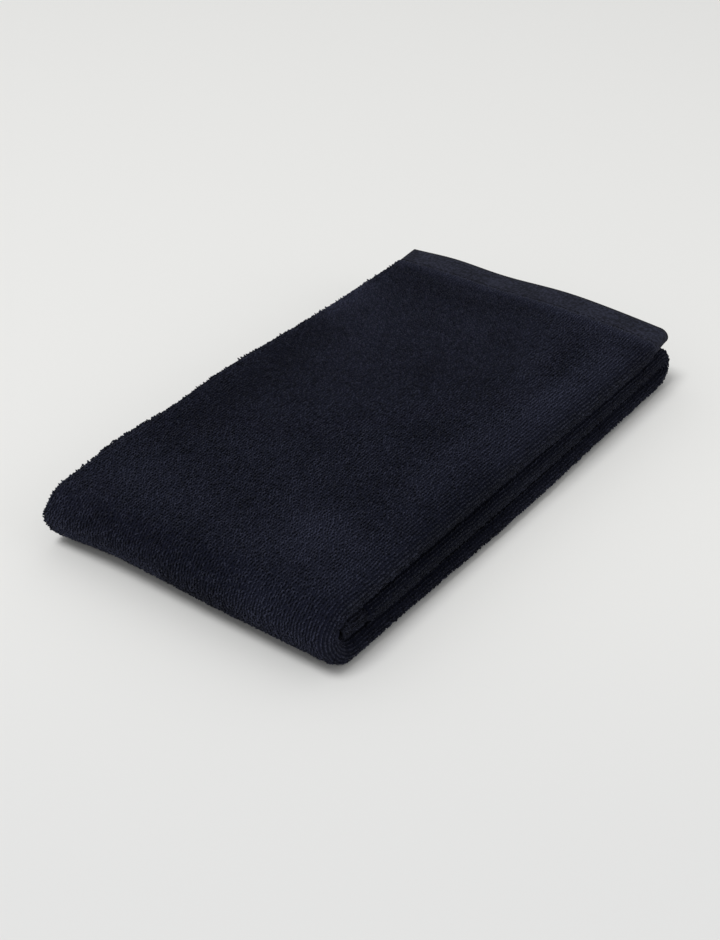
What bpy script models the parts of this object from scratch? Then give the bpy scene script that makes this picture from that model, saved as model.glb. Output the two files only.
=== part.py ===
"""Hand towel of navy terry cloth, folded in thirds across its width and then in thirds along its length.

The cloth is one rectangle. It is laid out as a flat grid, and every grid point is then carried to its
place in the fold. Metres, +Z up; +X is the side of the smooth right-hand folds and +Y is the end where
the upper hem lies.
"""
import math

import bpy

# ---- driving sizes, in metres ----
FOLDED_WIDTH = 0.168      # across the stack, from the left-hand folds to the right-hand folds
FOLDED_LENGTH = 0.306     # along the stack, from the near fold to the edge of the upper hem
LAYER = 0.0034            # terry cloth, measured over the loops of both faces
AIR = 0.0006              # between two layers that lie on each other
HEM_LAYER = 0.0023        # flat woven band, turned and stitched
HEM_DEPTH = 0.0165        # along the cloth, at each short end
HEM_STEP = 0.0010         # along the cloth, over which the pile rises from the hem
HEM_CLOSING = 0.12        # share by which the thinner layers of a hem sink towards each other
FAR_OVERHANG = 0.0065     # the far fold lies this much beyond the edge of the upper hem
INNER_REACH = 0.0030      # the inner hem reaches this far into the hollow of the near fold
PINCH = 0.20              # share by which the cloth is pressed thinner where it turns most tightly
NEAR_PINCH = 0.14         # the same where the near fold is tucked under

# ---- worked out from them ----
STEP = LAYER + AIR                                # from the middle of one layer to the next
PANEL = 3 * STEP                                  # from one panel of three layers to the next
BOTTOM_Z = 1.5 * LAYER + AIR                      # middle height of the bottom panel
MIDDLE_Z = BOTTOM_Z + PANEL
TOP_Z = BOTTOM_Z + 2 * PANEL
HEIGHT = TOP_Z + BOTTOM_Z
UPPER_END_Y = FOLDED_LENGTH / 2
NEAR_TURN_Y = -FOLDED_LENGTH / 2 + PANEL + STEP + LAYER / 2
FAR_TURN_Y = UPPER_END_Y + FAR_OVERHANG - PANEL / 2 - STEP - LAYER / 2
INNER_END_Y = NEAR_TURN_Y - INNER_REACH
RIGHT_TURN_X = FOLDED_WIDTH / 2 - STEP - LAYER / 2
LEFT_TURN_X = -FOLDED_WIDTH / 2 + STEP / 2 + LAYER / 2

# The grid: steps in each stretch of the cloth, from the cover's selvage to the tucked selvage ...
ACROSS = (
    # stretch, steps
    ("cover", 9),
    ("right turn", 8),
    ("centre", 7),
    ("left turn", 6),
    ("tucked", 6),
)
# ... and from the upper hem to the inner hem.
ALONG = (
    # stretch, steps
    ("upper hem", 2),
    ("upper step", 1),
    ("top", 10),
    ("near turn", 10),
    ("bottom", 10),
    ("far turn", 8),
    ("middle", 9),
    ("inner step", 1),
    ("inner hem", 2),
)

# How far the edges stray from a square stack, in metres towards +X, at places along the cloth.
STRAYS = (
    # stretch, share of it, cover's selvage, left turn, right turn
    ("upper hem", 0.0, 0.0000, 0.0012, -0.0006),
    ("upper step", 0.0, 0.0010, 0.0018, 0.0006),
    ("top", 0.25, 0.0020, 0.0018, 0.0012),
    ("top", 0.55, -0.0002, -0.0016, -0.0004),
    ("top", 0.85, 0.0044, -0.0050, -0.0006),
    ("near turn", 0.0, 0.0034, -0.0004, -0.0002),
    ("near turn", 0.25, 0.0028, 0.0010, -0.0006),
    ("near turn", 0.6, 0.0004, 0.0002, -0.0006),
    ("bottom", 0.0, 0.0012, 0.0008, 0.0002),
    ("bottom", 0.5, 0.0026, 0.0006, 0.0024),
    ("bottom", 0.85, 0.0016, 0.0010, 0.0014),
    ("bottom", 1.0, 0.0014, 0.0010, 0.0010),
    ("far turn", 0.5, 0.0016, 0.0008, 0.0008),
    ("far turn", 1.0, 0.0018, 0.0010, 0.0004),
    ("middle", 0.12, 0.0024, 0.0010, 0.0008),
    ("middle", 0.5, 0.0034, 0.0016, 0.0014),
    ("middle", 0.94, 0.0026, 0.0012, 0.0008),
    ("inner hem", 0.0, 0.0024, 0.0012, -0.0010),
    ("inner hem", 1.0, 0.0024, 0.0012, -0.0016),
)

# How far the lower half of each end fold is tucked in under its upper half, at places from left to right.
TUCKS = (
    # x, near fold, far fold
    (-0.086, 0.0024, 0.0010),
    (-0.045, 0.0052, 0.0010),
    (0.025, 0.0034, 0.0010),
    (0.075, 0.0034, 0.0020),
)
TUCK_HEIGHT = 0.008       # height at which the tuck is deepest
TUCK_REACH = 0.011        # over and under that height
TUCK_FADE = 0.030         # along the stack, over which it fades away behind the fold

# Soft swells and hollows of the stack, felt in full by the top layer and less by each layer under it.
SWELLS = (
    # name, x, y, reach across, reach along, rise
    ("far edge, raised right of its middle", 0.020, 0.160, 0.036, 0.030, 0.0030),
    ("far edge, raised left of its middle", -0.054, 0.160, 0.026, 0.030, 0.0022),
    ("ridge beside the right-hand folds", 0.052, 0.040, 0.016, 0.075, 0.0008),
    ("right shoulder sinks", 0.090, 0.000, 0.018, 0.190, -0.0014),
    ("far-right corner sinks", 0.090, 0.120, 0.026, 0.050, -0.0014),
    ("left edge sinks", -0.088, 0.020, 0.020, 0.150, -0.0006),
    ("hollow behind the near fold", 0.010, -0.040, 0.050, 0.035, -0.0007),
    ("near-left corner sinks", -0.086, -0.144, 0.034, 0.026, -0.0028),
)

NAVY = (0.0095, 0.0110, 0.0190, 1.0)
ROUGHNESS = 0.95
METALLIC = 0.0


def clear_scene():
    for thing in list(bpy.data.objects):
        bpy.data.objects.remove(thing, do_unlink=True)


def rows(stretches):
    """The stretch and the share of it at every row of the grid; neighbours share their end row."""
    places = [(stretches[0][0], 0.0)]
    for name, steps in stretches:
        places += [(name, (step + 1) / steps) for step in range(steps)]
    return places


def row_number(stretches, name, share):
    """Row of the grid, as a number with a fraction, at a share of a stretch."""
    count = 0
    for stretch, steps in stretches:
        if stretch == name:
            return count + share * steps
        count += steps
    raise ValueError(name)


def ease(low, high, share):
    """From low to high, level at both ends."""
    return low + (high - low) * (3 - 2 * share) * share * share


def strays_at(row):
    """The three strays at a row along the cloth, eased from one line of the table to the next."""
    table = [(row_number(ALONG, name, share), strays) for name, share, *strays in STRAYS]
    for (start, before), (end, after) in zip(table, table[1:]):
        if row <= end:
            share = (row - start) / (end - start)
            return [ease(low, high, share) for low, high in zip(before, after)]
    return table[-1][1]


def crosswise(stretch, share, strays):
    """Sideways place of a point, and its height over the middle line of its panel."""
    cover_stray, left_stray, right_stray = strays
    right = RIGHT_TURN_X + right_stray
    left = LEFT_TURN_X + left_stray
    angle = math.pi * share
    if stretch == "cover":
        selvage = -FOLDED_WIDTH / 2 + cover_stray
        return selvage + (right - selvage) * share, STEP
    if stretch == "right turn":
        return right + STEP * math.sin(angle), STEP * math.cos(angle)
    if stretch == "centre":
        return right + (left - right) * share, -STEP
    if stretch == "left turn":
        return left - STEP / 2 * math.sin(angle), -STEP / 2 - STEP / 2 * math.cos(angle)
    return left + (right - left) * share, 0.0


def lengthwise(stretch, share):
    """Place and outward direction of the panels' middle line: y, z, and the direction's y and z."""
    start, end = {
        "upper hem": (UPPER_END_Y, UPPER_END_Y - HEM_DEPTH),
        "upper step": (UPPER_END_Y - HEM_DEPTH, UPPER_END_Y - HEM_DEPTH - HEM_STEP),
        "top": (UPPER_END_Y - HEM_DEPTH - HEM_STEP, NEAR_TURN_Y),
        "near turn": (0.0, math.pi),
        "bottom": (NEAR_TURN_Y, FAR_TURN_Y),
        "far turn": (0.0, math.pi),
        "middle": (FAR_TURN_Y, INNER_END_Y + HEM_DEPTH + HEM_STEP),
        "inner step": (INNER_END_Y + HEM_DEPTH + HEM_STEP, INNER_END_Y + HEM_DEPTH),
        "inner hem": (INNER_END_Y + HEM_DEPTH, INNER_END_Y),
    }[stretch]
    here = start + (end - start) * share
    if stretch == "near turn":
        side, up = -math.sin(here), math.cos(here)
        return NEAR_TURN_Y + PANEL * side, MIDDLE_Z + PANEL * up, side, up
    if stretch == "far turn":
        side, up = math.sin(here), -math.cos(here)
        return FAR_TURN_Y + PANEL / 2 * side, BOTTOM_Z + PANEL / 2 + PANEL / 2 * up, side, up
    if stretch == "bottom":
        return here, BOTTOM_Z, 0.0, -1.0
    if stretch in ("middle", "inner step", "inner hem"):
        return here, MIDDLE_Z, 0.0, 1.0
    return here, TOP_Z, 0.0, 1.0


def swell_at(x, y):
    """How far the top of the stack stands over or under its level, at a place in plan."""
    return sum(
        rise * math.exp(-((x - centre_x) / reach_x) ** 2 - ((y - centre_y) / reach_y) ** 2)
        for _, centre_x, centre_y, reach_x, reach_y, rise in SWELLS
    )


def tuck_at(x, y, z):
    """How far towards +Y a place is moved by the tucks of the two end folds."""
    near, far = TUCKS[0][1:] if x < TUCKS[0][0] else TUCKS[-1][1:]
    for (start, *before), (end, *after) in zip(TUCKS, TUCKS[1:]):
        if start <= x < end:
            near, far = (ease(low, high, (x - start) / (end - start)) for low, high in zip(before, after))
    depth = math.exp(-((z - TUCK_HEIGHT) / TUCK_REACH) ** 2)
    into_near = min(max((NEAR_TURN_Y - y) / TUCK_FADE + 1.0, 0.0), 1.0)
    into_far = min(max((y - FAR_TURN_Y) / TUCK_FADE + 1.0, 0.0), 1.0)
    return depth * (near * ease(0.0, 1.0, into_near) - far * ease(0.0, 1.0, into_far))


def hem_share(stretch, share):
    """1 on a hem, 0 on the pile."""
    if stretch in ("upper hem", "inner hem"):
        return 1.0
    if stretch == "upper step":
        return 1.0 - share
    if stretch == "inner step":
        return share
    return 0.0


def folded_point(across, along, row):
    """Where a point in the middle of the cloth lies in the fold; the lowest layer stays flat on its rest."""
    x, height = crosswise(*across, strays_at(row))
    y, z, side, up = lengthwise(*along)
    height *= 1.0 - HEM_CLOSING * hem_share(*along)
    y += side * height
    z += up * height
    share_of_height = (z - LAYER / 2) / (HEIGHT - LAYER)
    return x, y + tuck_at(x, y, z), z + swell_at(x, y) * share_of_height


def thickness_share(across, along):
    """Thickness of the cloth at a place, as a share of that of the terry."""
    pinch = PINCH * math.sin(math.pi * across[1]) if across[0] == "left turn" else 0.0
    if along[0] == "far turn":
        height = crosswise(*across, (0.0, 0.0, 0.0))[1]
        pinch = max(pinch, PINCH * -height / STEP * math.sin(math.pi * along[1]))
    if along[0] == "near turn":
        pinch = max(pinch, NEAR_PINCH * math.sin(math.pi * along[1]))
    return (1.0 - pinch) * (1.0 + (HEM_LAYER / LAYER - 1.0) * hem_share(*along))


def terry():
    """Matt navy cotton."""
    material = bpy.data.materials.new("navy_terry")
    material.diffuse_color = NAVY
    material.use_nodes = True
    shader = material.node_tree.nodes["Principled BSDF"]
    shader.inputs["Base Color"].default_value = NAVY
    shader.inputs["Roughness"].default_value = ROUGHNESS
    shader.inputs["Metallic"].default_value = METALLIC
    return material


def flat_cloth(name, across, along):
    """A grid of one unit a side, with a row of points for every place in the two lists."""
    bpy.ops.mesh.primitive_grid_add(x_subdivisions=len(across) - 1, y_subdivisions=len(along) - 1, size=1)
    cloth = bpy.context.object
    cloth.name = name
    cloth.data.name = name
    return cloth


def fold(cloth, across, along):
    """Carry every point of the flat grid to its place, and set the cloth's thickness by a vertex group."""
    thickness = cloth.vertex_groups.new(name="thickness")
    for vertex in cloth.data.vertices:
        column = round((vertex.co.x + 0.5) * (len(across) - 1))
        row = round((vertex.co.y + 0.5) * (len(along) - 1))
        vertex.co = folded_point(across[column], along[row], row)
        thickness.add([vertex.index], thickness_share(across[column], along[row]), "REPLACE")


def centre_in_plan(cloth):
    """Put the middle of the folded stack over the origin."""
    points = [vertex.co for vertex in cloth.data.vertices]
    middle_x = (min(point.x for point in points) + max(point.x for point in points)) / 2
    middle_y = (min(point.y for point in points) + max(point.y for point in points)) / 2
    for point in points:
        point.x -= middle_x
        point.y -= middle_y


def thicken(cloth):
    shell = cloth.modifiers.new("cloth", "SOLIDIFY")
    shell.thickness = LAYER
    shell.offset = 0.0
    shell.vertex_group = "thickness"
    cloth.data.shade_smooth()


def build_towel(collection):
    across = rows(ACROSS)
    along = rows(ALONG)
    towel = flat_cloth("towel", across, along)
    fold(towel, across, along)
    centre_in_plan(towel)
    thicken(towel)
    towel.data.materials.append(terry())
    for home in list(towel.users_collection):
        home.objects.unlink(towel)
    collection.objects.link(towel)


def main():
    clear_scene()
    collection = bpy.data.collections.new("hand_towel")
    bpy.context.scene.collection.children.link(collection)
    build_towel(collection)


main()
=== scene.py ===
import math
from collections import namedtuple

import bpy
import numpy as np
from mathutils import Matrix, Vector


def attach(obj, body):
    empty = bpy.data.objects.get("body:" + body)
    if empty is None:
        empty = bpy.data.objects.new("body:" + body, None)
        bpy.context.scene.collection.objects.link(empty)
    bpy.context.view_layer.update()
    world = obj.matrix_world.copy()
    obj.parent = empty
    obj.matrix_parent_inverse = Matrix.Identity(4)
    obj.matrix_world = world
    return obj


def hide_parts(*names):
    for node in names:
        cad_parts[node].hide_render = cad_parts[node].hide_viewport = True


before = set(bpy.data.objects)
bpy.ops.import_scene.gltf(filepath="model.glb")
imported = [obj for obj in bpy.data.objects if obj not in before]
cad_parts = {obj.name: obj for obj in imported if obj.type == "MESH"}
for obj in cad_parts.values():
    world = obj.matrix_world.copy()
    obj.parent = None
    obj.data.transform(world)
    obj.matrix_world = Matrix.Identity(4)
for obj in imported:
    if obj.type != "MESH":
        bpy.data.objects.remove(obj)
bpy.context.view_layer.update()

# Looks of a folded navy hand towel. The cloth is one rectangle, carried from the flat to its place in the
# fold by the same sizes and tables as the solid. Terry loops stand on what shows of it, and its two short
# ends are woven flat.
# Metres, +Z up; +X is the side of the smooth right-hand folds and +Y is the end where the upper hem lies.

# ---- the fold: driving sizes ----
FOLDED_WIDTH = 0.168      # across the stack, from the left-hand folds to the right-hand folds
FOLDED_LENGTH = 0.306     # along the stack, from the near fold to the edge of the upper hem
LAYER = 0.0034            # terry cloth, measured over the loops of both faces
AIR = 0.0006              # between two layers that lie on each other
HEM_LAYER = 0.0023        # flat woven band, turned and stitched
HEM_DEPTH = 0.0165        # along the cloth, at each short end
HEM_STEP = 0.0010         # along the cloth, over which the pile rises from the hem
HEM_CLOSING = 0.12        # share by which the thinner layers of a hem sink towards each other
FAR_OVERHANG = 0.0065     # the far fold lies this much beyond the edge of the upper hem
INNER_REACH = 0.0030      # the inner hem reaches this far into the hollow of the near fold

# ---- worked out from them ----
STEP = LAYER + AIR                                # from the middle of one layer to the next
PANEL = 3 * STEP                                  # from one panel of three layers to the next
BOTTOM_Z = 1.5 * LAYER + AIR                      # middle height of the bottom panel
MIDDLE_Z = BOTTOM_Z + PANEL
TOP_Z = BOTTOM_Z + 2 * PANEL
HEIGHT = TOP_Z + BOTTOM_Z
UPPER_END_Y = FOLDED_LENGTH / 2
NEAR_TURN_Y = -FOLDED_LENGTH / 2 + PANEL + STEP + LAYER / 2
FAR_TURN_Y = UPPER_END_Y + FAR_OVERHANG - PANEL / 2 - STEP - LAYER / 2
INNER_END_Y = NEAR_TURN_Y - INNER_REACH
RIGHT_TURN_X = FOLDED_WIDTH / 2 - STEP - LAYER / 2
LEFT_TURN_X = -FOLDED_WIDTH / 2 + STEP / 2 + LAYER / 2

# ---- the pile ----
GROUND = 0.0020           # thickness of the ground weave with the feet of its loops
COLUMN_PITCH = 0.0016     # between columns of loops, across the cloth
ROW_PITCH = 0.0017        # between rows of loops, along the cloth
LOOP_SPREAD = 0.00064     # sets the width of a loop, by the two shares of it below
LOOP_RISE = 0.00112       # top of a loop over its feet
ARCH_FEET = 0.80          # where a loop's feet stand, as a share of its spread
ARCH_SIDES = 1.35         # where the handles of its curve lie, as a share of its spread
ARCH_TOP = 1.33           # height of those handles as a share of the rise, which brings its top to the rise
ARCH_STEPS = 4            # of a stitch; each zone of loops has its own
YARN_SIDES = 3
YARN_RADIUS = 0.00036
LOOP_SINK = 0.00035       # how deep the feet stand in the ground
LOOP_LEAN = 0.45          # most lean of a loop along the cloth and across it, in radians
LOOP_TURN = 0.60          # most turn of a loop about its own middle, in radians
LOOP_SIZES = (0.75, 1.25)
LOOP_JITTER = 0.00040     # most that a loop slips from its place, along the cloth or across it
CALM = 0.60               # share of the unevenness that is left where the cloth is drawn over the right folds
CALM_FROM = 0.88          # share of the cover's width at which it becomes calmer
WANDER = 0.00028          # sideways sway of the rows and columns, in each of the waves below
WANDER_WAVES = 7
WANDER_LENGTHS = (0.009, 0.030)     # shortest and longest wave
FRINGE_PITCH = 0.0024     # between the loose loops on the selvage, which are narrower
FRINGE_SPREAD = 0.00030
FRINGE_RADIUS = 0.00028
FRINGE_HEIGHT = 1.25      # as a share of the full height of a loop, like the heights below
EDGE_REACH = 0.0040       # how far loops are made beyond the turns, into the gaps between layers
HOLLOW_REACH = 0.0080     # the same in the hollow of the near fold, round the inner hem
HOLLOW_HEIGHT = 1.5       # of the loops there, where no pile presses on them
UNDERSIDE_HEIGHT = 0.9    # of the loops that the towel lies on
FIRST_ROW = ("upper step", 0.6)     # place of the first row of loops beside the upper hem
FIRST_HEIGHT = 0.55       # of the loops in it
HEM_FADE = 0.0050         # from the hem, over which the loops come to their full height
STITCH_PITCH = 0.0030     # along the seam of a hem
STITCH_SPREAD = 0.0012    # sets the length of a stitch, by the same shares
STITCH_RISE = 0.00026
STITCH_SINK = 0.00018
STITCH_SIZES = (0.94, 1.06)
THREAD_RADIUS = 0.00020
UPPER_SEAM = ("upper hem", 0.90)    # places of the two seams along the cloth
INNER_SEAM = ("inner hem", 0.10)
FLOOR_CLEARANCE = 0.00002
SEED = 7

# The grid: steps of the tables below, and steps of the fine mesh, in each stretch of the cloth.
ACROSS = (
    # stretch, steps, fine steps
    ("cover", 9, 50),
    ("right turn", 8, 14),
    ("centre", 7, 12),
    ("left turn", 6, 10),
    ("tucked", 6, 8),
)
ALONG = (
    # stretch, steps, fine steps
    ("upper hem", 2, 6),
    ("upper step", 1, 2),
    ("top", 10, 88),
    ("near turn", 10, 32),
    ("bottom", 10, 44),
    ("far turn", 8, 20),
    ("middle", 9, 27),
    ("inner step", 1, 2),
    ("inner hem", 2, 6),
)

# How far the edges stray from a square stack, in metres towards +X, at places along the cloth.
STRAYS = (
    # stretch, share of it, cover's selvage, left turn, right turn
    ("upper hem", 0.0, 0.0000, 0.0012, -0.0006),
    ("upper step", 0.0, 0.0010, 0.0018, 0.0006),
    ("top", 0.25, 0.0020, 0.0018, 0.0012),
    ("top", 0.55, -0.0002, -0.0016, -0.0004),
    ("top", 0.85, 0.0044, -0.0050, -0.0006),
    ("near turn", 0.0, 0.0034, -0.0004, -0.0002),
    ("near turn", 0.25, 0.0028, 0.0010, -0.0006),
    ("near turn", 0.6, 0.0004, 0.0002, -0.0006),
    ("bottom", 0.0, 0.0012, 0.0008, 0.0002),
    ("bottom", 0.5, 0.0026, 0.0006, 0.0024),
    ("bottom", 0.85, 0.0016, 0.0010, 0.0014),
    ("bottom", 1.0, 0.0014, 0.0010, 0.0010),
    ("far turn", 0.5, 0.0016, 0.0008, 0.0008),
    ("far turn", 1.0, 0.0018, 0.0010, 0.0004),
    ("middle", 0.12, 0.0024, 0.0010, 0.0008),
    ("middle", 0.5, 0.0034, 0.0016, 0.0014),
    ("middle", 0.94, 0.0026, 0.0012, 0.0008),
    ("inner hem", 0.0, 0.0024, 0.0012, -0.0010),
    ("inner hem", 1.0, 0.0024, 0.0012, -0.0016),
)

# How far the lower half of each end fold is tucked in under its upper half, at places from left to right.
TUCKS = (
    # x, near fold, far fold
    (-0.086, 0.0024, 0.0010),
    (-0.045, 0.0052, 0.0010),
    (0.025, 0.0034, 0.0010),
    (0.075, 0.0034, 0.0020),
)
TUCK_HEIGHT = 0.008       # height at which the tuck is deepest
TUCK_REACH = 0.011        # over and under that height
TUCK_FADE = 0.030         # along the stack, over which it fades away behind the fold

# Soft swells and hollows of the stack, felt in full by the top layer and less by each layer under it.
# Places here and among the creases are from before the stack is put over the origin.
SWELLS = (
    # name, x, y, reach across, reach along, rise
    ("far edge, raised right of its middle", 0.020, 0.160, 0.036, 0.030, 0.0030),
    ("far edge, raised left of its middle", -0.054, 0.160, 0.026, 0.030, 0.0022),
    ("ridge beside the right-hand folds", 0.052, 0.040, 0.016, 0.075, 0.0008),
    ("right shoulder sinks", 0.090, 0.000, 0.018, 0.190, -0.0014),
    ("far-right corner sinks", 0.090, 0.120, 0.026, 0.050, -0.0014),
    ("left edge sinks", -0.088, 0.020, 0.020, 0.150, -0.0006),
    ("hollow behind the near fold", 0.010, -0.040, 0.050, 0.035, -0.0007),
    ("near-left corner sinks", -0.086, -0.144, 0.034, 0.026, -0.0028),
)

# Low soft creases on the upper face, in metres: troughs and ridges as they lie in plan.
CREASES = (
    # name, reach, rise, places along it
    ("ridge beside the right-hand folds", 0.0060, 0.0006,
     (0.072, 0.100), (0.070, 0.047), (0.064, -0.005), (0.060, -0.040), (0.067, -0.062)),
    ("left wrinkle under the hem", 0.0040, 0.0007, (0.017, 0.118), (0.048, 0.060)),
    ("right wrinkle under the hem", 0.0040, 0.0007, (0.037, 0.108), (0.051, 0.064)),
    ("trough between them", 0.0040, -0.0006, (0.028, 0.112), (0.048, 0.068)),
    ("trough along the left edge", 0.0090, -0.0006, (-0.069, 0.035), (-0.064, -0.083)),
    ("trough below the hem", 0.0060, -0.0006, (-0.078, 0.128), (0.070, 0.128)),
)

# Painted light and shade on the pile: where it is coloured lighter or darker as light and shade fall on its
# swells, creases and folds, at places as they are in the frame.
PAINTED_SHADING = (
    # name, reach, lighter, places along it
    ("dark under the hem", 0.013, -0.22, (-0.070, 0.122), (-0.035, 0.108), (0.003, 0.118)),
    ("first rows beside the hem", 0.0048, 0.50, (-0.080, 0.1320), (0.078, 0.1320)),
    ("light by the far right corner", 0.008, 0.18, (0.035, 0.126), (0.060, 0.123), (0.068, 0.112)),
    ("light along the right shoulder", 0.008, 0.26, (0.078, 0.100), (0.078, -0.010)),
    ("light far end of the ridge", 0.010, 0.22, (0.074, 0.104), (0.070, 0.078)),
    ("light along the ridge", 0.009, 0.50, (0.071, 0.060), (0.069, 0.036)),
    ("fainter along the ridge", 0.010, 0.20, (0.067, 0.020), (0.062, -0.020), (0.060, -0.045)),
    ("near end of the ridge", 0.005, 0.16, (0.060, -0.050), (0.067, -0.066)),
    ("dark hollow left of the ridge", 0.010, -0.18, (0.040, 0.000), (0.044, -0.045), (0.050, -0.078)),
    ("dark slope beside the ridge", 0.009, -0.22, (0.080, -0.030), (0.080, -0.065), (0.083, -0.080)),
    ("left wrinkle", 0.005, 0.12, (0.016, 0.118), (0.049, 0.060)),
    ("right wrinkle", 0.005, 0.14, (0.040, 0.104), (0.051, 0.066)),
    ("dark right of the wrinkles", 0.007, -0.25, (0.054, 0.096), (0.060, 0.070)),
    ("light by the far-left edge", 0.010, 0.70, (-0.082, 0.092), (-0.078, 0.066)),
    ("fainter along the left edge", 0.008, 0.12, (-0.082, 0.125), (-0.080, 0.000)),
    ("shadow under the cover's selvage", 0.0018, -0.90,
     (-0.0815, -0.045, 0.0310), (-0.0825, -0.090, 0.0310), (-0.0815, -0.140, 0.0300)),
    ("light beside the left edge", 0.014, 0.18, (-0.058, 0.080), (-0.042, 0.045)),
    ("dark along the left edge", 0.015, -0.42, (-0.069, 0.031), (-0.063, -0.023), (-0.064, -0.082)),
    ("faint dark from it to the middle", 0.012, -0.12, (-0.050, -0.060), (-0.002, -0.043), (0.006, -0.066)),
    ("dark spot in the middle", 0.010, -0.28, (0.004, 0.041), (0.004, 0.034)),
    ("dark spot left of the middle", 0.009, -0.16, (-0.042, -0.003), (-0.042, -0.018)),
    ("dark spot in the near half", 0.008, -0.15, (0.006, -0.038), (0.007, -0.046)),
    ("dark spot right of it", 0.009, -0.20, (0.033, 0.043), (0.034, 0.036)),
    ("dark in front of both spots", 0.010, -0.10, (0.006, 0.028), (0.042, 0.028)),
    ("dark spot in front of it", 0.008, -0.22, (0.034, -0.010), (0.036, -0.014)),
    ("dark spot behind the near light", 0.009, -0.12, (0.030, -0.074), (0.033, -0.078)),
    ("light near the right end of the near fold", 0.013, 0.54, (0.040, -0.106), (0.044, -0.110)),
    ("light near the left end of the near fold", 0.013, 0.13, (-0.060, -0.113), (-0.044, -0.120)),
    ("dark band beside it", 0.011, -0.13, (-0.042, -0.092), (0.002, -0.100), (0.006, -0.140)),
    ("dark along the near fold", 0.010, -0.16, (-0.050, -0.150), (-0.010, -0.148), (0.022, -0.152)),
    ("light at the near-left corner", 0.010, 0.25, (-0.078, -0.150), (-0.070, -0.162)),
    ("light low on the near fold", 0.010, 0.50, (0.046, -0.152, 0.020), (0.084, -0.152, 0.018)),
    ("light along the near fold", 0.007, 0.12, (-0.020, -0.152, 0.021), (0.030, -0.152, 0.021)),
    ("light over the near fold", 0.008, 0.14, (-0.030, -0.125), (0.070, -0.128)),
    ("light right of the near light", 0.012, 0.15, (0.066, -0.104), (0.074, -0.126)),
    # Painted light from the pale floor, low on the near fold.
    ("rubbed low on the near fold", 0.0085, 0.72, (-0.072, -0.150, 0.011), (-0.018, -0.151, 0.012)),
    ("dark edge of the right shoulder", 0.0055, -0.30, (0.0870, 0.120, 0.033), (0.0865, -0.060, 0.033)),
    ("shade on the right-hand folds", 0.013, -0.42, (0.090, 0.130, 0.018), (0.090, -0.130, 0.018)),
)


# ---------------------------------------------------------------- the fold
def rows(stretches):
    """The stretch and the share of it at every row of the fine mesh; neighbours share their end row."""
    places = [(stretches[0][0], 0.0)]
    for name, _, steps in stretches:
        places += [(name, (step + 1) / steps) for step in range(steps)]
    return places


def row_number(stretches, name, share):
    """Row of the table's grid, as a number with a fraction, at a share of a stretch."""
    count = 0
    for stretch, steps, _ in stretches:
        if stretch == name:
            return count + share * steps
        count += steps
    raise ValueError(name)


def ease(low, high, share):
    """From low to high, level at both ends."""
    return low + (high - low) * (3 - 2 * share) * share * share


def strays_at(place):
    """The three strays at a place along the cloth, eased from one line of the table to the next."""
    row = row_number(ALONG, *place)
    table = [(row_number(ALONG, name, share), strays) for name, share, *strays in STRAYS]
    for (start, before), (end, after) in zip(table, table[1:]):
        if row <= end:
            share = (row - start) / (end - start)
            return [ease(low, high, share) for low, high in zip(before, after)]
    return table[-1][1]


def crosswise(stretch, share, strays):
    """Sideways place of a point, and its height over the middle line of its panel."""
    cover_stray, left_stray, right_stray = strays
    right = RIGHT_TURN_X + right_stray
    left = LEFT_TURN_X + left_stray
    angle = math.pi * share
    if stretch == "cover":
        selvage = -FOLDED_WIDTH / 2 + cover_stray
        return selvage + (right - selvage) * share, STEP
    if stretch == "right turn":
        return right + STEP * math.sin(angle), STEP * math.cos(angle)
    if stretch == "centre":
        return right + (left - right) * share, -STEP
    if stretch == "left turn":
        return left - STEP / 2 * math.sin(angle), -STEP / 2 - STEP / 2 * math.cos(angle)
    return left + (right - left) * share, 0.0


def lengthwise(stretch, share):
    """Place and outward direction of the panels' middle line: y, z, and the direction's y and z."""
    start, end = {
        "upper hem": (UPPER_END_Y, UPPER_END_Y - HEM_DEPTH),
        "upper step": (UPPER_END_Y - HEM_DEPTH, UPPER_END_Y - HEM_DEPTH - HEM_STEP),
        "top": (UPPER_END_Y - HEM_DEPTH - HEM_STEP, NEAR_TURN_Y),
        "near turn": (0.0, math.pi),
        "bottom": (NEAR_TURN_Y, FAR_TURN_Y),
        "far turn": (0.0, math.pi),
        "middle": (FAR_TURN_Y, INNER_END_Y + HEM_DEPTH + HEM_STEP),
        "inner step": (INNER_END_Y + HEM_DEPTH + HEM_STEP, INNER_END_Y + HEM_DEPTH),
        "inner hem": (INNER_END_Y + HEM_DEPTH, INNER_END_Y),
    }[stretch]
    here = start + (end - start) * share
    if stretch == "near turn":
        side, up = -math.sin(here), math.cos(here)
        return NEAR_TURN_Y + PANEL * side, MIDDLE_Z + PANEL * up, side, up
    if stretch == "far turn":
        side, up = math.sin(here), -math.cos(here)
        return FAR_TURN_Y + PANEL / 2 * side, BOTTOM_Z + PANEL / 2 + PANEL / 2 * up, side, up
    if stretch == "bottom":
        return here, BOTTOM_Z, 0.0, -1.0
    if stretch in ("middle", "inner step", "inner hem"):
        return here, MIDDLE_Z, 0.0, 1.0
    return here, TOP_Z, 0.0, 1.0


def hem_share(stretch, share):
    """1 on a hem, 0 on the pile."""
    if stretch in ("upper hem", "inner hem"):
        return 1.0
    if stretch == "upper step":
        return 1.0 - share
    if stretch == "inner step":
        return share
    return 0.0


def relief(points):
    """How far the top of the stack stands over or under its level, at each of many places in plan."""
    x, y = points[..., 0], points[..., 1]
    rise = np.zeros_like(x)
    for _, centre_x, centre_y, reach_x, reach_y, height in SWELLS:
        rise += height * np.exp(-((x - centre_x) / reach_x) ** 2 - ((y - centre_y) / reach_y) ** 2)
    return rise + strokes(points, CREASES)


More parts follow.
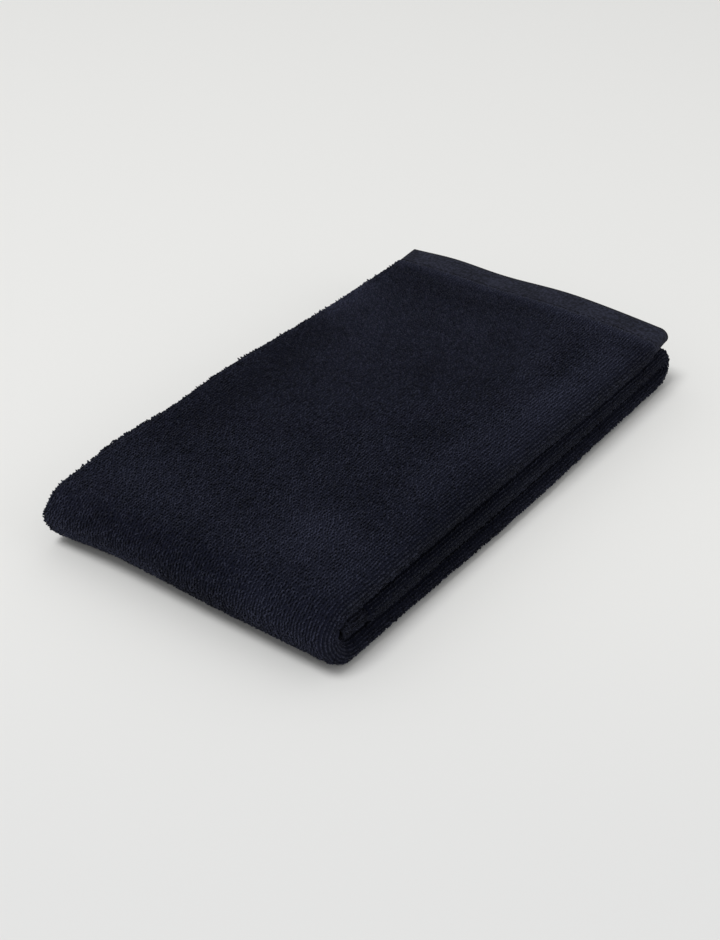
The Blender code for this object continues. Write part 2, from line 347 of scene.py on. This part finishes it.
def strokes(points, table):
    """Sum of a table's soft strokes at many places: in plan, or in space where its places have heights."""
    total = np.zeros(points.shape[:-1])
    for _, reach, strength, *places in table:
        nearest = np.full(total.shape, np.inf)
        for start, end in zip(np.array(places), np.array(places)[1:]):
            away, run = points[..., :len(start)] - start, end - start
            share = np.clip(away @ run / (run @ run), 0.0, 1.0)
            nearest = np.minimum(nearest, np.linalg.norm(away - share[..., None] * run, axis=-1))
        total += strength * np.exp(-((nearest / reach) ** 2))
    return total


def tuck(points):
    """How far towards +Y the tucks of the two end folds move each of many places."""
    x, y, z = points[..., 0], points[..., 1], points[..., 2]
    table = np.array(TUCKS)
    line = np.clip(np.searchsorted(table[:, 0], x, side="right") - 1, 0, len(table) - 2)
    share = np.clip((x - table[line, 0]) / (table[line + 1, 0] - table[line, 0]), 0.0, 1.0)
    near, far = (ease(table[line, fold], table[line + 1, fold], share) for fold in (1, 2))
    depth = np.exp(-((z - TUCK_HEIGHT) / TUCK_REACH) ** 2)
    into_near = np.clip((NEAR_TURN_Y - y) / TUCK_FADE + 1.0, 0.0, 1.0)
    into_far = np.clip((y - FAR_TURN_Y) / TUCK_FADE + 1.0, 0.0, 1.0)
    return depth * (near * ease(0.0, 1.0, into_near) - far * ease(0.0, 1.0, into_far))


def folded(across, along):
    """Places of the cloth's middle for every pair of a place across and a place along, as rows of points."""
    points = np.zeros((len(along), len(across), 3))
    for row, place in enumerate(along):
        strays = strays_at(place)
        y, z, side, up = lengthwise(*place)
        closing = 1.0 - HEM_CLOSING * hem_share(*place)
        for column, crossing in enumerate(across):
            x, height = crosswise(*crossing, strays)
            points[row, column] = x, y + side * height * closing, z + up * height * closing
    share_of_height = (points[..., 2] - LAYER / 2) / (HEIGHT - LAYER)
    tucked = tuck(points)
    points[..., 2] += relief(points) * share_of_height
    points[..., 1] += tucked
    return points


def centre_of_fold():
    """Middle of the folded cloth in plan, before it is put over the origin."""
    points = folded(rows(ACROSS), rows(ALONG))
    middle = (points.min(axis=(0, 1)) + points.max(axis=(0, 1))) / 2
    return np.array([middle[0], middle[1], 0.0])


CENTRE = centre_of_fold()


def placed(across, along):
    """As folded, with the middle of the stack over the origin."""
    return folded(across, along) - CENTRE


def length_across(stretch):
    """Length of a stretch across the cloth, along its middle."""
    turn = {"right turn": math.pi * STEP, "left turn": math.pi * STEP / 2}
    flat = {
        "cover": RIGHT_TURN_X + FOLDED_WIDTH / 2,
        "centre": RIGHT_TURN_X - LEFT_TURN_X,
        "tucked": RIGHT_TURN_X - LEFT_TURN_X,
    }
    return {**turn, **flat}[stretch]


def length_along(stretch):
    """Length of a stretch along the cloth, measured where the panels' middle line lies."""
    if stretch == "near turn":
        return math.pi * PANEL
    if stretch == "far turn":
        return math.pi * PANEL / 2
    start, end = lengthwise(stretch, 0.0)[0], lengthwise(stretch, 1.0)[0]
    return abs(end - start)


FLAT_LENGTH = sum(length_along(name) for name, *_ in ALONG)


# ---------------------------------------------------------------- node trees
class Wire:
    """A node's output; arithmetic on wires and numbers adds Math nodes."""

    def __init__(self, net, socket):
        self.net = net
        self.socket = socket

    def __add__(self, other):
        return self.net.maths("ADD", self, other)

    def __radd__(self, other):
        return self.net.maths("ADD", other, self)

    def __sub__(self, other):
        return self.net.maths("SUBTRACT", self, other)

    def __rsub__(self, other):
        return self.net.maths("SUBTRACT", other, self)

    def __mul__(self, other):
        return self.net.maths("MULTIPLY", self, other)

    def __rmul__(self, other):
        return self.net.maths("MULTIPLY", other, self)


class Net:
    """A node tree that is written node by node."""

    def __init__(self, tree):
        self.tree = tree

    def add(self, kind, values=None, output=0, **settings):
        """A new node: its settings first, then the values or wires of its sockets; gives one output."""
        node = self.tree.nodes.new(kind)
        for name, value in settings.items():
            setattr(node, name, value)
        for key, value in (values or {}).items():
            if isinstance(value, Wire):
                self.tree.links.new(value.socket, node.inputs[key])
            else:
                node.inputs[key].default_value = value
        return Wire(self, node.outputs[output]) if node.outputs else None

    def maths(self, operation, *values):
        return self.add("ShaderNodeMath", dict(enumerate(values)), operation=operation)

    def noise(self, place, scale, detail):
        return self.add("ShaderNodeTexNoise", {"Vector": place, "Scale": scale, "Detail": detail})

    def blend(self, share, low, high):
        """The colour at a share of the way from one colour to another."""
        return self.add("ShaderNodeMix", {"Factor": share, "A": low, "B": high}, output=2, data_type="RGBA")

    def link(self, wire, shader, name):
        self.tree.links.new(wire.socket, shader.inputs[name])


# ---------------------------------------------------------------- materials
PILE_DARK = (0.0027, 0.0034, 0.0088, 1.0)
PILE_LIGHT = (0.0326, 0.0360, 0.0640, 1.0)
# Lighter end of the ground weave's colours, whose darker end is PILE_DARK: the ground is coloured darker than
# the loops as painted shade between them.
GROUND_NAVY = (0.0092, 0.0105, 0.0200, 1.0)
HEM_DARK = (0.0034, 0.0040, 0.0082, 1.0)
HEM_LIGHT = (0.0212, 0.0234, 0.0398, 1.0)
SHEEN_TINT = (0.55, 0.58, 0.70, 1.0)
HEM_THREAD = 0.00055      # between two threads of the hem's weave
HEM_RIM = 0.0018          # from the turned edge of the hem, over which it is painted darker: painted shade along that edge


def principled(name, roughness, sheen, specular):
    """A matt material, its net and its shader, whose base colour is still to be linked."""
    material = bpy.data.materials.new(name)
    material.use_nodes = True
    tree = material.node_tree
    shader = tree.nodes["Principled BSDF"]
    shader.inputs["Roughness"].default_value = roughness
    shader.inputs["Specular IOR Level"].default_value = specular
    shader.inputs["Sheen Weight"].default_value = sheen
    shader.inputs["Sheen Roughness"].default_value = 0.6
    shader.inputs["Sheen Tint"].default_value = SHEEN_TINT
    return material, Net(tree), shader


def pile_material():
    """Cotton loops with fibres, each lighter or darker than its neighbours, in broad soft drifts, with
    painted light and shade laid over them.
    """
    material, net, shader = principled("terry_loops", roughness=0.95, sheen=0.08, specular=0.1)
    place = net.add("ShaderNodeTexCoord", output="Object")
    fleck = net.add("ShaderNodeAttribute", attribute_name="fleck", output="Fac")
    # Painted light and shade, as carried by each loop.
    painted_shading = net.add("ShaderNodeAttribute", attribute_name="painted_shading", output="Fac")
    drift = net.noise(place, scale=38.0, detail=3.0)
    patch = net.noise(place, scale=150.0, detail=2.0)
    tone = 0.50 * fleck + 0.28 * drift + 0.32 * patch + 0.62 * painted_shading - 0.288
    fibres = net.noise(place, scale=5200.0, detail=2.0)
    bump = net.add("ShaderNodeBump", {"Height": fibres, "Strength": 0.5, "Distance": 0.0002})
    net.link(net.blend(tone, PILE_DARK, PILE_LIGHT), shader, "Base Color")
    net.link(bump, shader, "Normal")
    return material


def ground_material():
    """The weave that shows between the loops: coloured darker than them, as painted shade between them, with
    painted light and shade laid over it, and pitted where their feet stand.
    """
    material, net, shader = principled("terry_ground", roughness=1.0, sheen=0.04, specular=0.05)
    place = net.add("ShaderNodeTexCoord", output="Object")
    crumb = net.add("ShaderNodeTexVoronoi", {"Vector": place, "Scale": 620.0})
    # Painted light and shade, as carried by the cloth's points.
    painted_shading = net.add("ShaderNodeAttribute", attribute_name="painted_shading", output="Fac")
    tone = net.noise(place, scale=700.0, detail=2.0) + painted_shading
    bump = net.add("ShaderNodeBump", {"Height": crumb, "Strength": 0.8, "Distance": 0.0005})
    net.link(net.blend(tone, PILE_DARK, GROUND_NAVY), shader, "Base Color")
    net.link(bump, shader, "Normal")
    return material


def hem_material(name, turned):
    """Threads across and along the cloth, passing over and under, with painted shade along the hem's turned
    edge.
    """
    material, net, shader = principled(name, roughness=0.9, sheen=0.04, specular=0.1)
    flat = net.add("ShaderNodeUVMap", uv_map="flat cloth")
    x, y = (net.add("ShaderNodeSeparateXYZ", {"Vector": flat}, output=axis) for axis in ("X", "Y"))
    beat = math.pi / HEM_THREAD
    weave = net.maths("SINE", x * beat) * net.maths("SINE", y * beat)
    place = net.add("ShaderNodeTexCoord", output="Object")
    slub = net.noise(place, scale=640.0, detail=4.0)
    drift = net.noise(place, scale=60.0, detail=3.0)
    tone = 1.2 * weave + 6.5 * slub + 2.0 * drift - 3.90
    # Painted shade along the hem's turned edge.
    if turned:
        rim = {"Value": y, "From Min": HEM_RIM / 2, "From Max": HEM_RIM}
        tone = tone * net.add("ShaderNodeMapRange", rim)
    height = 0.6 * weave + 0.4 * slub
    bump = net.add("ShaderNodeBump", {"Height": height, "Strength": 0.6, "Distance": 0.0002})
    net.link(net.blend(tone, HEM_DARK, HEM_LIGHT), shader, "Base Color")
    net.link(bump, shader, "Normal")
    return material


def floor_material():
    """Pale paper, with painted shade in front of the towel: a little darker there than behind it."""
    material, net, shader = principled("pale_floor", roughness=0.8, sheen=0.0, specular=0.2)
    place = net.add("ShaderNodeTexCoord", output="Object")
    away = net.add("ShaderNodeVectorMath", {0: place, 1: FLOOR_HEADING}, output="Value",
                   operation="DOT_PRODUCT")
    share = net.add("ShaderNodeMapRange", {"Value": away, "From Min": FLOOR_NEAR, "From Max": FLOOR_FAR},
                    interpolation_type="SMOOTHSTEP")
    net.link(net.blend(share, FLOOR_NEAR_SHADED_COLOUR, FLOOR_FAR_COLOUR), shader, "Base Color")
    return material


# ---------------------------------------------------------------- the cloth
def ride(piece):
    """Every piece rides on the one body of the towel."""
    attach(piece, "root")
    return piece


def build_cloth(materials):
    """The ground weave and the hems: one closed sheet on the middle line of the solid."""
    across, along = rows(ACROSS), rows(ALONG)
    last_column, last_line = len(across) - 1, len(along) - 1
    bpy.ops.mesh.primitive_grid_add(x_subdivisions=last_column, y_subdivisions=last_line, size=1)
    cloth = bpy.context.object
    cloth.name = "terry_cloth"
    mesh = cloth.data
    mesh.name = "terry_cloth"
    count = len(mesh.vertices)
    flat = np.empty(count * 3, np.float32)
    mesh.vertices.foreach_get("co", flat)
    flat = flat.reshape(-1, 3)
    column = np.rint((flat[:, 0] + 0.5) * last_column).astype(int)
    line = np.rint((flat[:, 1] + 0.5) * last_line).astype(int)
    points = placed(across, along)
    mesh.vertices.foreach_set("co", points[line, column].astype(np.float32).ravel())
    hem = np.array([hem_share(*place) for place in along])
    thickness = cloth.vertex_groups.new(name="thickness")
    for vertex in range(count):
        thickness.add([vertex], 1 + (HEM_LAYER / GROUND - 1) * hem[line[vertex]], "REPLACE")
    mark_flat_places(mesh, across, along, column, line)
    # Painted light and shade for the ground weave.
    mark(mesh, "painted_shading", strokes(points, PAINTED_SHADING)[line, column])
    for material in materials:
        mesh.materials.append(material)
    middle_line = np.array([line[list(face.vertices)].mean() for face in mesh.polygons])
    on_hem = np.interp(middle_line, np.arange(len(hem)), hem) > 0.5
    mesh.polygons.foreach_set("material_index", on_hem.astype(np.int32))
    mesh.shade_smooth()
    shell = cloth.modifiers.new("cloth", "SOLIDIFY")
    shell.thickness = GROUND
    shell.offset = 0.0
    shell.vertex_group = "thickness"
    return cloth


def mark_flat_places(mesh, across, along, column, line):
    """A UV map that holds each point's place on the flat cloth, in metres."""
    x = distances(across, ACROSS, length_across)
    y = distances(along, ALONG, length_along)
    layer = mesh.uv_layers.new(name="flat cloth")
    corners = np.empty(len(mesh.loops), np.int32)
    mesh.loops.foreach_get("vertex_index", corners)
    places = np.stack([x[column], y[line]], axis=1)[corners]
    layer.data.foreach_set("uv", places.astype(np.float32).ravel())


def distances(places, stretches, length):
    """Distance on the flat cloth from its first edge to each place."""
    starts, total = {}, 0.0
    for name, *_ in stretches:
        starts[name] = total
        total += length(name)
    return np.array([starts[name] + share * length(name) for name, share in places])


# ---------------------------------------------------------------- the loops
def loop_tree(title, material):
    """Geometry nodes that set one arch of yarn on every point of a carrier, leaning and turned at random."""
    tree = bpy.data.node_groups.new(title, "GeometryNodeTree")
    face = tree.interface
    face.new_socket("Geometry", in_out="INPUT", socket_type="NodeSocketGeometry")
    sockets = {}
    for name, kind, value in (
        ("Spread", "NodeSocketFloat", LOOP_SPREAD),
        ("Rise", "NodeSocketFloat", LOOP_RISE),
        ("Yarn radius", "NodeSocketFloat", YARN_RADIUS),
        ("Lean", "NodeSocketFloat", LOOP_LEAN),
        ("Turn", "NodeSocketFloat", LOOP_TURN),
        ("Smallest", "NodeSocketFloat", LOOP_SIZES[0]),
        ("Largest", "NodeSocketFloat", LOOP_SIZES[1]),
        ("Steps", "NodeSocketInt", ARCH_STEPS),
        ("Seed", "NodeSocketInt", SEED),
    ):
        sockets[name] = face.new_socket(name, in_out="INPUT", socket_type=kind)
        sockets[name].default_value = value
    face.new_socket("Geometry", in_out="OUTPUT", socket_type="NodeSocketGeometry")
    net = Net(tree)
    group = tree.nodes.new("NodeGroupInput")
    given = {socket.name: Wire(net, socket) for socket in group.outputs if socket.name}
    spread, rise = given["Spread"], given["Rise"]

    def vector(x=0.0, y=0.0, z=0.0):
        return net.add("ShaderNodeCombineXYZ", {"X": x, "Y": y, "Z": z})

    foot, side, top = spread * ARCH_FEET, spread * ARCH_SIDES, rise * ARCH_TOP
    arch = net.add("GeometryNodeCurvePrimitiveBezierSegment", {
        "Resolution": given["Steps"],
        "Start": vector(x=0.0 - foot), "Start Handle": vector(x=0.0 - side, z=top),
        "End Handle": vector(x=side, z=top), "End": vector(x=foot),
    })
    yarn = net.add("GeometryNodeCurvePrimitiveCircle", {
        "Resolution": YARN_SIDES, "Radius": given["Yarn radius"],
    })
    loop = net.add("GeometryNodeCurveToMesh", {"Curve": arch, "Profile Curve": yarn})
    upward = net.add("GeometryNodeInputNamedAttribute", {"Name": "upward"}, data_type="FLOAT_VECTOR")
    heading = net.add("GeometryNodeInputNamedAttribute", {"Name": "heading"}, data_type="FLOAT_VECTOR")
    standing = net.add("FunctionNodeAlignRotationToVector", {"Vector": upward}, axis="Z")
    facing = net.add("FunctionNodeAlignRotationToVector", {"Rotation": standing, "Vector": heading},
                     axis="X", pivot_axis="Z")
    loose = net.add("GeometryNodeInputNamedAttribute", {"Name": "loose"}, data_type="FLOAT")
    lean, turn = given["Lean"] * loose, given["Turn"] * loose
    swing = net.add("FunctionNodeRandomValue", {
        "Min": vector(0.0 - lean, 0.0 - lean, 0.0 - turn), "Max": vector(lean, lean, turn),
        "Seed": given["Seed"],
    }, data_type="FLOAT_VECTOR")
    turned = net.add("FunctionNodeRotateRotation", {
        "Rotation": facing, "Rotate By": net.add("FunctionNodeEulerToRotation", {"Euler": swing}),
    }, rotation_space="LOCAL")
    size = net.add("FunctionNodeRandomValue", {
        2: given["Smallest"], 3: given["Largest"], "Seed": given["Seed"] + 1,
    }, output=1, data_type="FLOAT")
    tall = net.add("GeometryNodeInputNamedAttribute", {"Name": "tall"}, data_type="FLOAT")
    pile = net.add("GeometryNodeInstanceOnPoints", {
        "Points": given["Geometry"], "Instance": loop, "Rotation": turned,
        "Scale": vector(size, size, size * tall),
    })
    shade = net.add("FunctionNodeRandomValue", {2: 0.0, 3: 1.0, "Seed": given["Seed"] + 2}, output=1,
                    data_type="FLOAT")
    marked = net.add("GeometryNodeStoreNamedAttribute", {"Geometry": pile, "Name": "fleck", "Value": shade},
                     data_type="FLOAT", domain="INSTANCE")
    real = net.add("GeometryNodeRealizeInstances", {"Geometry": marked})
    smooth = net.add("GeometryNodeSetShadeSmooth", {"Geometry": real})
    painted = net.add("GeometryNodeSetMaterial", {"Geometry": smooth, "Material": material})
    end = tree.nodes.new("NodeGroupOutput")
    tree.links.new(painted.socket, end.inputs["Geometry"])
    return tree, {name: socket.identifier for name, socket in sockets.items()}


def between(name, count, start=0.0, end=1.0):
    """Places in the middle of each of a number of equal steps of a stretch, or of a part of it."""
    return [(name, start + (end - start) * (step + 0.5) / count) for step in range(count)]


def looseness(stretch, share):
    """How freely the loops lie at a place across the cloth, from CALM to 1."""
    if stretch == "cover":
        return ease(1.0, CALM, min(max((share - CALM_FROM) / (1.0 - CALM_FROM), 0.0), 1.0))
    return CALM if stretch == "right turn" else 1.0


def wander(across, along):
    """Slow sway of the loops from their straight rows and columns, along and across the cloth."""
    random = np.random.default_rng(SEED)
    shortest, longest = WANDER_LENGTHS
    x = distances(across, ACROSS, length_across)[None, :]
    y = distances(along, ALONG, length_along)[:, None]
    sway = np.zeros((len(along), len(across), 2))
    for wave in range(WANDER_WAVES):
        heading, phase, length = random.uniform((0.0, 0.0, shortest), (math.pi, math.tau, longest))
        beat = math.tau * (x * math.cos(heading) + y * math.sin(heading)) / length + phase
        sway[..., wave % 2] += WANDER * np.sin(beat)
    return sway


# How loops or stitches stand on the cloth: height of their feet over its middle, their share of the slips
# along it (and of all lean and turn) and across it, least and most tilt out over the selvage in radians,
# and whether they run across the cloth.
Stand = namedtuple("Stand", "lift uneven tilt crosswise")
PILE = Stand(GROUND / 2 - LOOP_SINK, (0.8, 0.5), (0.0, 0.0), False)
HEM_PILE = Stand(HEM_LAYER / 2 - LOOP_SINK, (1.0, 1.0), (0.0, 0.0), False)
FRINGE = Stand(GROUND / 2 - LOOP_SINK, (0.8, 0.0), (1.0, 2.0), False)
SEAM = Stand(HEM_LAYER / 2 - STITCH_SINK, (0.0, 0.0), (0.0, 0.0), True)


def mark(mesh, title, values):
    """An attribute of the mesh's points: a number or a vector for each."""
    kind, entry = ("FLOAT_VECTOR", "vector") if values.ndim == 2 else ("FLOAT", "value")
    field = mesh.attributes.new(title, kind, "POINT")
    field.data.foreach_set(entry, values.astype(np.float32).ravel())


def directions(across, along):
    """Places on the cloth, with the directions out of it, along it and across it there."""
    nudge = 1e-3
    points = placed(across, along)
    beside = placed([(stretch, share + nudge) for stretch, share in across], along)
    beyond = placed(across, [(stretch, share + nudge) for stretch, share in along])
    warpwise = beyond - points
    outward = np.cross(warpwise, beside - points)
    warpwise /= np.linalg.norm(warpwise, axis=-1, keepdims=True)
    outward /= np.linalg.norm(outward, axis=-1, keepdims=True)
    return points, outward, warpwise, np.cross(outward, warpwise)


def carrier(name, across, along, height, stand, random):
    """Points at the feet of loops or stitches on the cloth's outer face, marked with how each one stands."""
    points, outward, warpwise, weftwise = directions(across, along)
    shape = points.shape[:2]
    loose = np.array([looseness(*crossing) for crossing in across])[None, :, None]
    slip = random.uniform(-LOOP_JITTER, LOOP_JITTER, shape + (2,)) + wander(across, along)
    slip *= loose * np.array(stand.uneven)
    tilt = random.uniform(*stand.tilt, shape + (1,))
    points += warpwise * slip[..., :1] + weftwise * slip[..., 1:]
    points += outward * np.cos(tilt) * stand.lift
    upward = outward * np.cos(tilt) - weftwise * np.sin(tilt)
    mesh = bpy.data.meshes.new(name)
    mesh.from_pydata(points.reshape(-1, 3).tolist(), [], [])
    mark(mesh, "upward", upward.reshape(-1, 3))
    mark(mesh, "heading", (weftwise if stand.crosswise else warpwise).reshape(-1, 3))
    mark(mesh, "tall", np.broadcast_to(height * loop_height(along)[:, None], shape).ravel())
    mark(mesh, "loose", np.broadcast_to(loose[..., 0] * stand.uneven[0], shape).ravel())
    # Painted light and shade for each loop or stitch.
    mark(mesh, "painted_shading", strokes(points, PAINTED_SHADING).ravel())
    piece = bpy.data.objects.new(name, mesh)
    bpy.context.scene.collection.objects.link(piece)
    return piece


def loop_height(along):
    """Height of the loops at places along the cloth, as a share of the full one: low beside the upper hem."""
    from_hem = {"upper step": 0.0, "top": length_along("top")}
    away = np.array([share * from_hem[name] if name in from_hem else HEM_FADE for name, share in along])
    return ease(FIRST_HEIGHT, 1.0, np.clip(away / HEM_FADE, 0.0, 1.0))


def grow(piece, tree, identifiers, values):
    """Run a tree of loops on a carrier and keep the result as a plain mesh that stays above the floor."""
    modifier = piece.modifiers.new("loops", "NODES")
    modifier.node_group = tree
    for name, value in values.items():
        modifier[identifiers[name]] = value
    bpy.context.view_layer.update()
    graph = bpy.context.evaluated_depsgraph_get()
    mesh = bpy.data.meshes.new_from_object(piece.evaluated_get(graph))
    mesh.name = piece.name
    piece.modifiers.remove(modifier)
    piece.data = mesh
    places = np.empty(len(mesh.vertices) * 3, np.float32)
    mesh.vertices.foreach_get("co", places)
    places[2::3] = np.maximum(places[2::3], FLOOR_CLEARANCE)
    mesh.vertices.foreach_set("co", places)
    mesh.update()
    return piece


def columns(name, start=0.0, end=1.0):
    """Columns of loops across a stretch, or across a part of it, at their pitch on its outer face."""
    length = length_across(name) + (math.pi * GROUND / 2 if name.endswith("turn") else 0.0)
    return between(name, max(1, round(length * (end - start) / COLUMN_PITCH)), start, end)


def lines(name, start=0.0, end=1.0, pitch=ROW_PITCH):
    """Rows of loops along a stretch, or along a part of it, at their pitch on its outermost layer."""
    length = length_along(name) + (math.pi * (STEP + LAYER / 2) if name.endswith("turn") else 0.0)
    return between(name, round(length * (end - start) / pitch), start, end)


def pile_zones():
    """Where loops show: name, places across, places along, height, steps of an arch, how they stand."""
    cover, right, left = columns("cover"), columns("right turn"), columns("left turn")
    edge_shows = ("top", "near turn", "bottom", "far turn")
    top, near, bottom, far, middle = (lines(name) for name in edge_shows + ("middle",))
    top = [FIRST_ROW] + top
    edge, deep = (reach / length_across("centre") for reach in (EDGE_REACH, HOLLOW_REACH))
    top_end = 1.0 - HEM_DEPTH / length_along("top")
    bottom_start = HEM_DEPTH / length_along("bottom")
    hollow = lines("top", top_end, 1.0) + near + lines("bottom", 0.0, bottom_start)
    gaps = lines("top", 0.0, top_end) + lines("bottom", bottom_start, 1.0) + far + middle
    left_gaps = columns("centre", 1.0 - edge, 1.0) + left + columns("tucked", 0.0, edge)
    everywhere = top + near + bottom + far + middle
    edges = [place for name in edge_shows for place in lines(name, pitch=FRINGE_PITCH)]
    return (
        ("loops_top_far", cover, top[:len(top) // 2], 1.0, 3, PILE),
        ("loops_top_near", cover, top[len(top) // 2:], 1.0, 3, PILE),
        ("loops_near_fold", cover, near, 1.0, 3, PILE),
        ("loops_underside_near", cover, bottom[:len(bottom) // 2], UNDERSIDE_HEIGHT, 2, PILE),
        ("loops_underside_far", cover, bottom[len(bottom) // 2:], UNDERSIDE_HEIGHT, 2, PILE),
        ("loops_far_fold", cover, far, 1.0, 3, PILE),
        ("loops_right_folds", right, everywhere, 1.0, 3, PILE),
        ("loops_right_gaps", columns("centre", 0.0, edge), gaps, 1.0, 3, PILE),
        ("loops_near_hollow", columns("centre", 0.0, deep), hollow, HOLLOW_HEIGHT, 3, PILE),
        ("loops_inner_end", right + columns("centre", 0.0, deep), lines("inner hem"), 1.0, 3, HEM_PILE),
        ("loops_left_folds", left_gaps, everywhere, 1.0, 3, PILE),
        ("loops_selvage", [("cover", 0.0)], edges, FRINGE_HEIGHT, 4, FRINGE),
    )


def build_pile(material):
    """All the loops, a piece for each zone."""
    tree, identifiers = loop_tree("terry loops", material)
    random = np.random.default_rng(SEED)
    pieces = []
    for number, (name, across, along, height, steps, stand) in enumerate(pile_zones()):
        piece = carrier(name, across, along, height, stand, random)
        values = {"Seed": SEED + 10 * number, "Steps": steps}
        if stand == FRINGE:
            values |= {"Spread": FRINGE_SPREAD, "Yarn radius": FRINGE_RADIUS}
        grow(piece, tree, identifiers, values)
        pieces.append(ride(piece))
    return pieces


def build_seams(material):
    """The row of stitches that holds each hem down, where it shows."""
    tree, identifiers = loop_tree("hem stitches", material)
    random = np.random.default_rng(SEED)
    sizes = {
        "Spread": STITCH_SPREAD, "Rise": STITCH_RISE, "Yarn radius": THREAD_RADIUS,
        "Smallest": STITCH_SIZES[0], "Largest": STITCH_SIZES[1],
    }
    pieces = []
    for name, stretches, place in (
        ("stitches_upper_hem", ("cover", "right turn"), UPPER_SEAM),
        ("stitches_inner_hem", ("right turn",), INNER_SEAM),
    ):
        across = [spot for stretch in stretches
                  for spot in between(stretch, round(length_across(stretch) / STITCH_PITCH))]
        piece = carrier(name, across, [place], 1.0, SEAM, random)
        grow(piece, tree, identifiers, sizes)
        pieces.append(ride(piece))
    return pieces


# ---------------------------------------------------------------- floor, light and camera
FLOOR_SIZE = 6.0
FLOOR_HEADING = (-0.6, 0.8, 0.0)    # from the near floor to the far floor
FLOOR_NEAR = -0.32        # distances that way, over which the painted shade on the near floor fades out
FLOOR_FAR = -0.02
# The near colour is darker by painted shade.
FLOOR_NEAR_SHADED_COLOUR = (0.720, 0.722, 0.716, 1.0)
FLOOR_FAR_COLOUR = (0.788, 0.788, 0.773, 1.0)
WORLD_COLOUR = (1.0, 1.0, 1.0, 1.0)
WORLD_STRENGTH = 0.55
LAMPS = (
    # name, place, aim, width, power
    ("overhead", (-0.5, -1.7, 4.2), (0.0, 0.0, 0.0), 1.7, 108.0),
    ("fill from the right", (2.2, 0.2, 1.0), (0.0, 0.0, 0.0), 1.5, 5.0),
)
CAMERA_PLACE = (0.3889, -0.5377, 0.4385)
CAMERA_AZIMUTH = 36.76    # degrees, 0 looking along +Y and 90 along -X
CAMERA_ELEVATION = 33.97
CAMERA_ROLL = -0.54
CAMERA_LENS = 59.35       # millimetres, on a sensor 36 mm tall
SENSOR = 36.0


def build_floor():
    """A pale plane under the towel and far round it."""
    bpy.ops.mesh.primitive_plane_add(size=FLOOR_SIZE)
    floor = bpy.context.object
    floor.name = "floor"
    floor.data.materials.append(floor_material())


def build_light():
    """An even pale sky, a soft lamp overhead and a faint one from the right."""
    world = bpy.data.worlds.new("studio")
    world.use_nodes = True
    background = world.node_tree.nodes["Background"]
    background.inputs["Color"].default_value = WORLD_COLOUR
    background.inputs["Strength"].default_value = WORLD_STRENGTH
    bpy.context.scene.world = world
    for name, place, aim, width, power in LAMPS:
        lamp = bpy.data.lights.new(name, "AREA")
        lamp.shape = "DISK"
        lamp.size = width
        lamp.energy = power
        holder = bpy.data.objects.new(name, lamp)
        holder.location = place
        direction = Vector(aim) - Vector(place)
        holder.rotation_euler = direction.to_track_quat("-Z", "Y").to_euler()
        bpy.context.scene.collection.objects.link(holder)


def build_camera():
    """The camera of the photograph, as it was fitted to the outline of the towel."""
    angles = (CAMERA_AZIMUTH, CAMERA_ELEVATION, CAMERA_ROLL)
    azimuth, elevation, roll = (math.radians(angle) for angle in angles)
    back = Vector((
        math.sin(azimuth) * math.cos(elevation),
        -math.cos(azimuth) * math.cos(elevation),
        math.sin(elevation),
    ))
    lens = bpy.data.cameras.new("camera")
    lens.lens = CAMERA_LENS
    lens.sensor_width = SENSOR
    lens.clip_start = 0.01
    camera = bpy.data.objects.new("camera", lens)
    camera.rotation_mode = "QUATERNION"
    rolled = Matrix.Rotation(roll, 3, "Z").to_quaternion()
    camera.rotation_quaternion = (-back).to_track_quat("-Z", "Y") @ rolled
    camera.location = CAMERA_PLACE
    bpy.context.scene.collection.objects.link(camera)
    bpy.context.scene.camera = camera


def main():
    build_camera()
    bpy.context.scene.view_settings.view_transform = "Standard"
    build_floor()
    build_light()
    cloth = build_cloth([ground_material(), hem_material("woven_hem", turned=True)])
    yarns = build_pile(pile_material()) + build_seams(hem_material("hem_thread", turned=False))
    ride(cloth)
    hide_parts("towel")


main()
